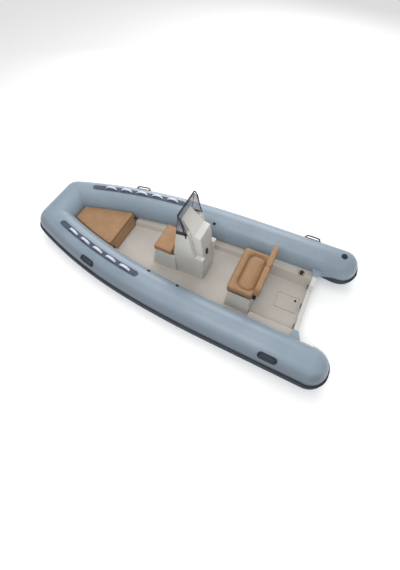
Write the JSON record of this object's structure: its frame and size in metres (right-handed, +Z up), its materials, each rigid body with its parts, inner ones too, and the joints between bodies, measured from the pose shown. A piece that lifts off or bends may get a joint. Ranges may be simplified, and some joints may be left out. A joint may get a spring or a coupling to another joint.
{
  "type": "rigid inflatable boat",
  "caption": "Rigid-hull inflatable boat with a side collar and blunt bow, centre console with windscreen, helm bench, front seat and cushioned bow locker.",
  "frame": {"origin": "on the centreline at the waterline, in the plane of the transom's aft face", "axes": "+X forward to the bow, +Y to port, +Z up"},
  "size_m": [5.1885, 2.3046, 1.6919],
  "materials": {
    "tube_fabric": "satin coated fabric, blue grey",
    "strake_rubber": "matt moulded rubber, near black navy",
    "grip_rubber": "pale moulded grips",
    "black_plastic": "black moulded plastic",
    "gelcoat": "gelcoat, warm light grey",
    "cushion_vinyl": "stitched marine vinyl, caramel",
    "screen_acrylic": "smoked acrylic",
    "dark_metal": "dark coated tube",
    "steel": "stainless steel"
  },
  "bodies": {
    "boat": {"tube_port": "tube_fabric", "tube_starboard": "tube_fabric", "tube_bow": "tube_fabric", "gusset_port": "tube_fabric", "gusset_starboard": "tube_fabric", "rub_strake": "strake_rubber", "grip_strip_port": "strake_rubber", "grip_strip_starboard": "strake_rubber", "handle_pads": "strake_rubber", "bow_grips_port": "grip_rubber", "bow_grips_starboard": "grip_rubber", "handle_grips": "black_plastic", "air_valves": "black_plastic", "relief_valve": "black_plastic", "screen_seals": "black_plastic", "console_latch": "black_plastic", "transom_drains": "black_plastic", "aft_fitting": "black_plastic", "hull_bottom": "gelcoat", "transom": "gelcoat", "deck_liner": "gelcoat", "bow_locker": "gelcoat", "console_body": "gelcoat", "ledge_caps": "gelcoat", "front_seat_base": "gelcoat", "seat_box": "gelcoat", "bow_front_pad": "cushion_vinyl", "front_back_pad": "cushion_vinyl", "windscreen": "screen_acrylic", "screen_rail": "dark_metal", "bow_eye": "steel"},
    "bow_lid": {"bow_lid_panel": "gelcoat", "bow_cushion": "cushion_vinyl"},
    "front_seat_lid": {"front_seat_panel": "gelcoat", "front_seat_cushion": "cushion_vinyl"},
    "helm_seat_lid": {"helm_lid_panel": "black_plastic", "helm_cushion": "cushion_vinyl", "helm_backrest": "cushion_vinyl", "backrest_brackets": "black_plastic"},
    "stern_hatch_lid": {"stern_hatch": "gelcoat"}
  },
  "joints": [
    {"name": "bow_lid_hinge", "type": "hinge", "parent": "boat", "child": "bow_lid", "pos_m": [4.072, 0, 0.3346], "axis": [0, 1, 0], "range_deg": [0, 75]},
    {"name": "front_seat_hinge", "type": "hinge", "parent": "boat", "child": "front_seat_lid", "pos_m": [2.423, 0, 0.4843], "axis": [0, 1, 0], "range_deg": [0, 85]},
    {"name": "helm_seat_hinge", "type": "hinge", "parent": "boat", "child": "helm_seat_lid", "pos_m": [1.146, 0, 0.4183], "axis": [0, 1, 0], "range_deg": [0, 85]},
    {"name": "stern_hatch_hinge", "type": "hinge", "parent": "boat", "child": "stern_hatch_lid", "pos_m": [0.438, 0, 0.096], "axis": [0, 1, 0], "range_deg": [0, 95]}
  ]
}
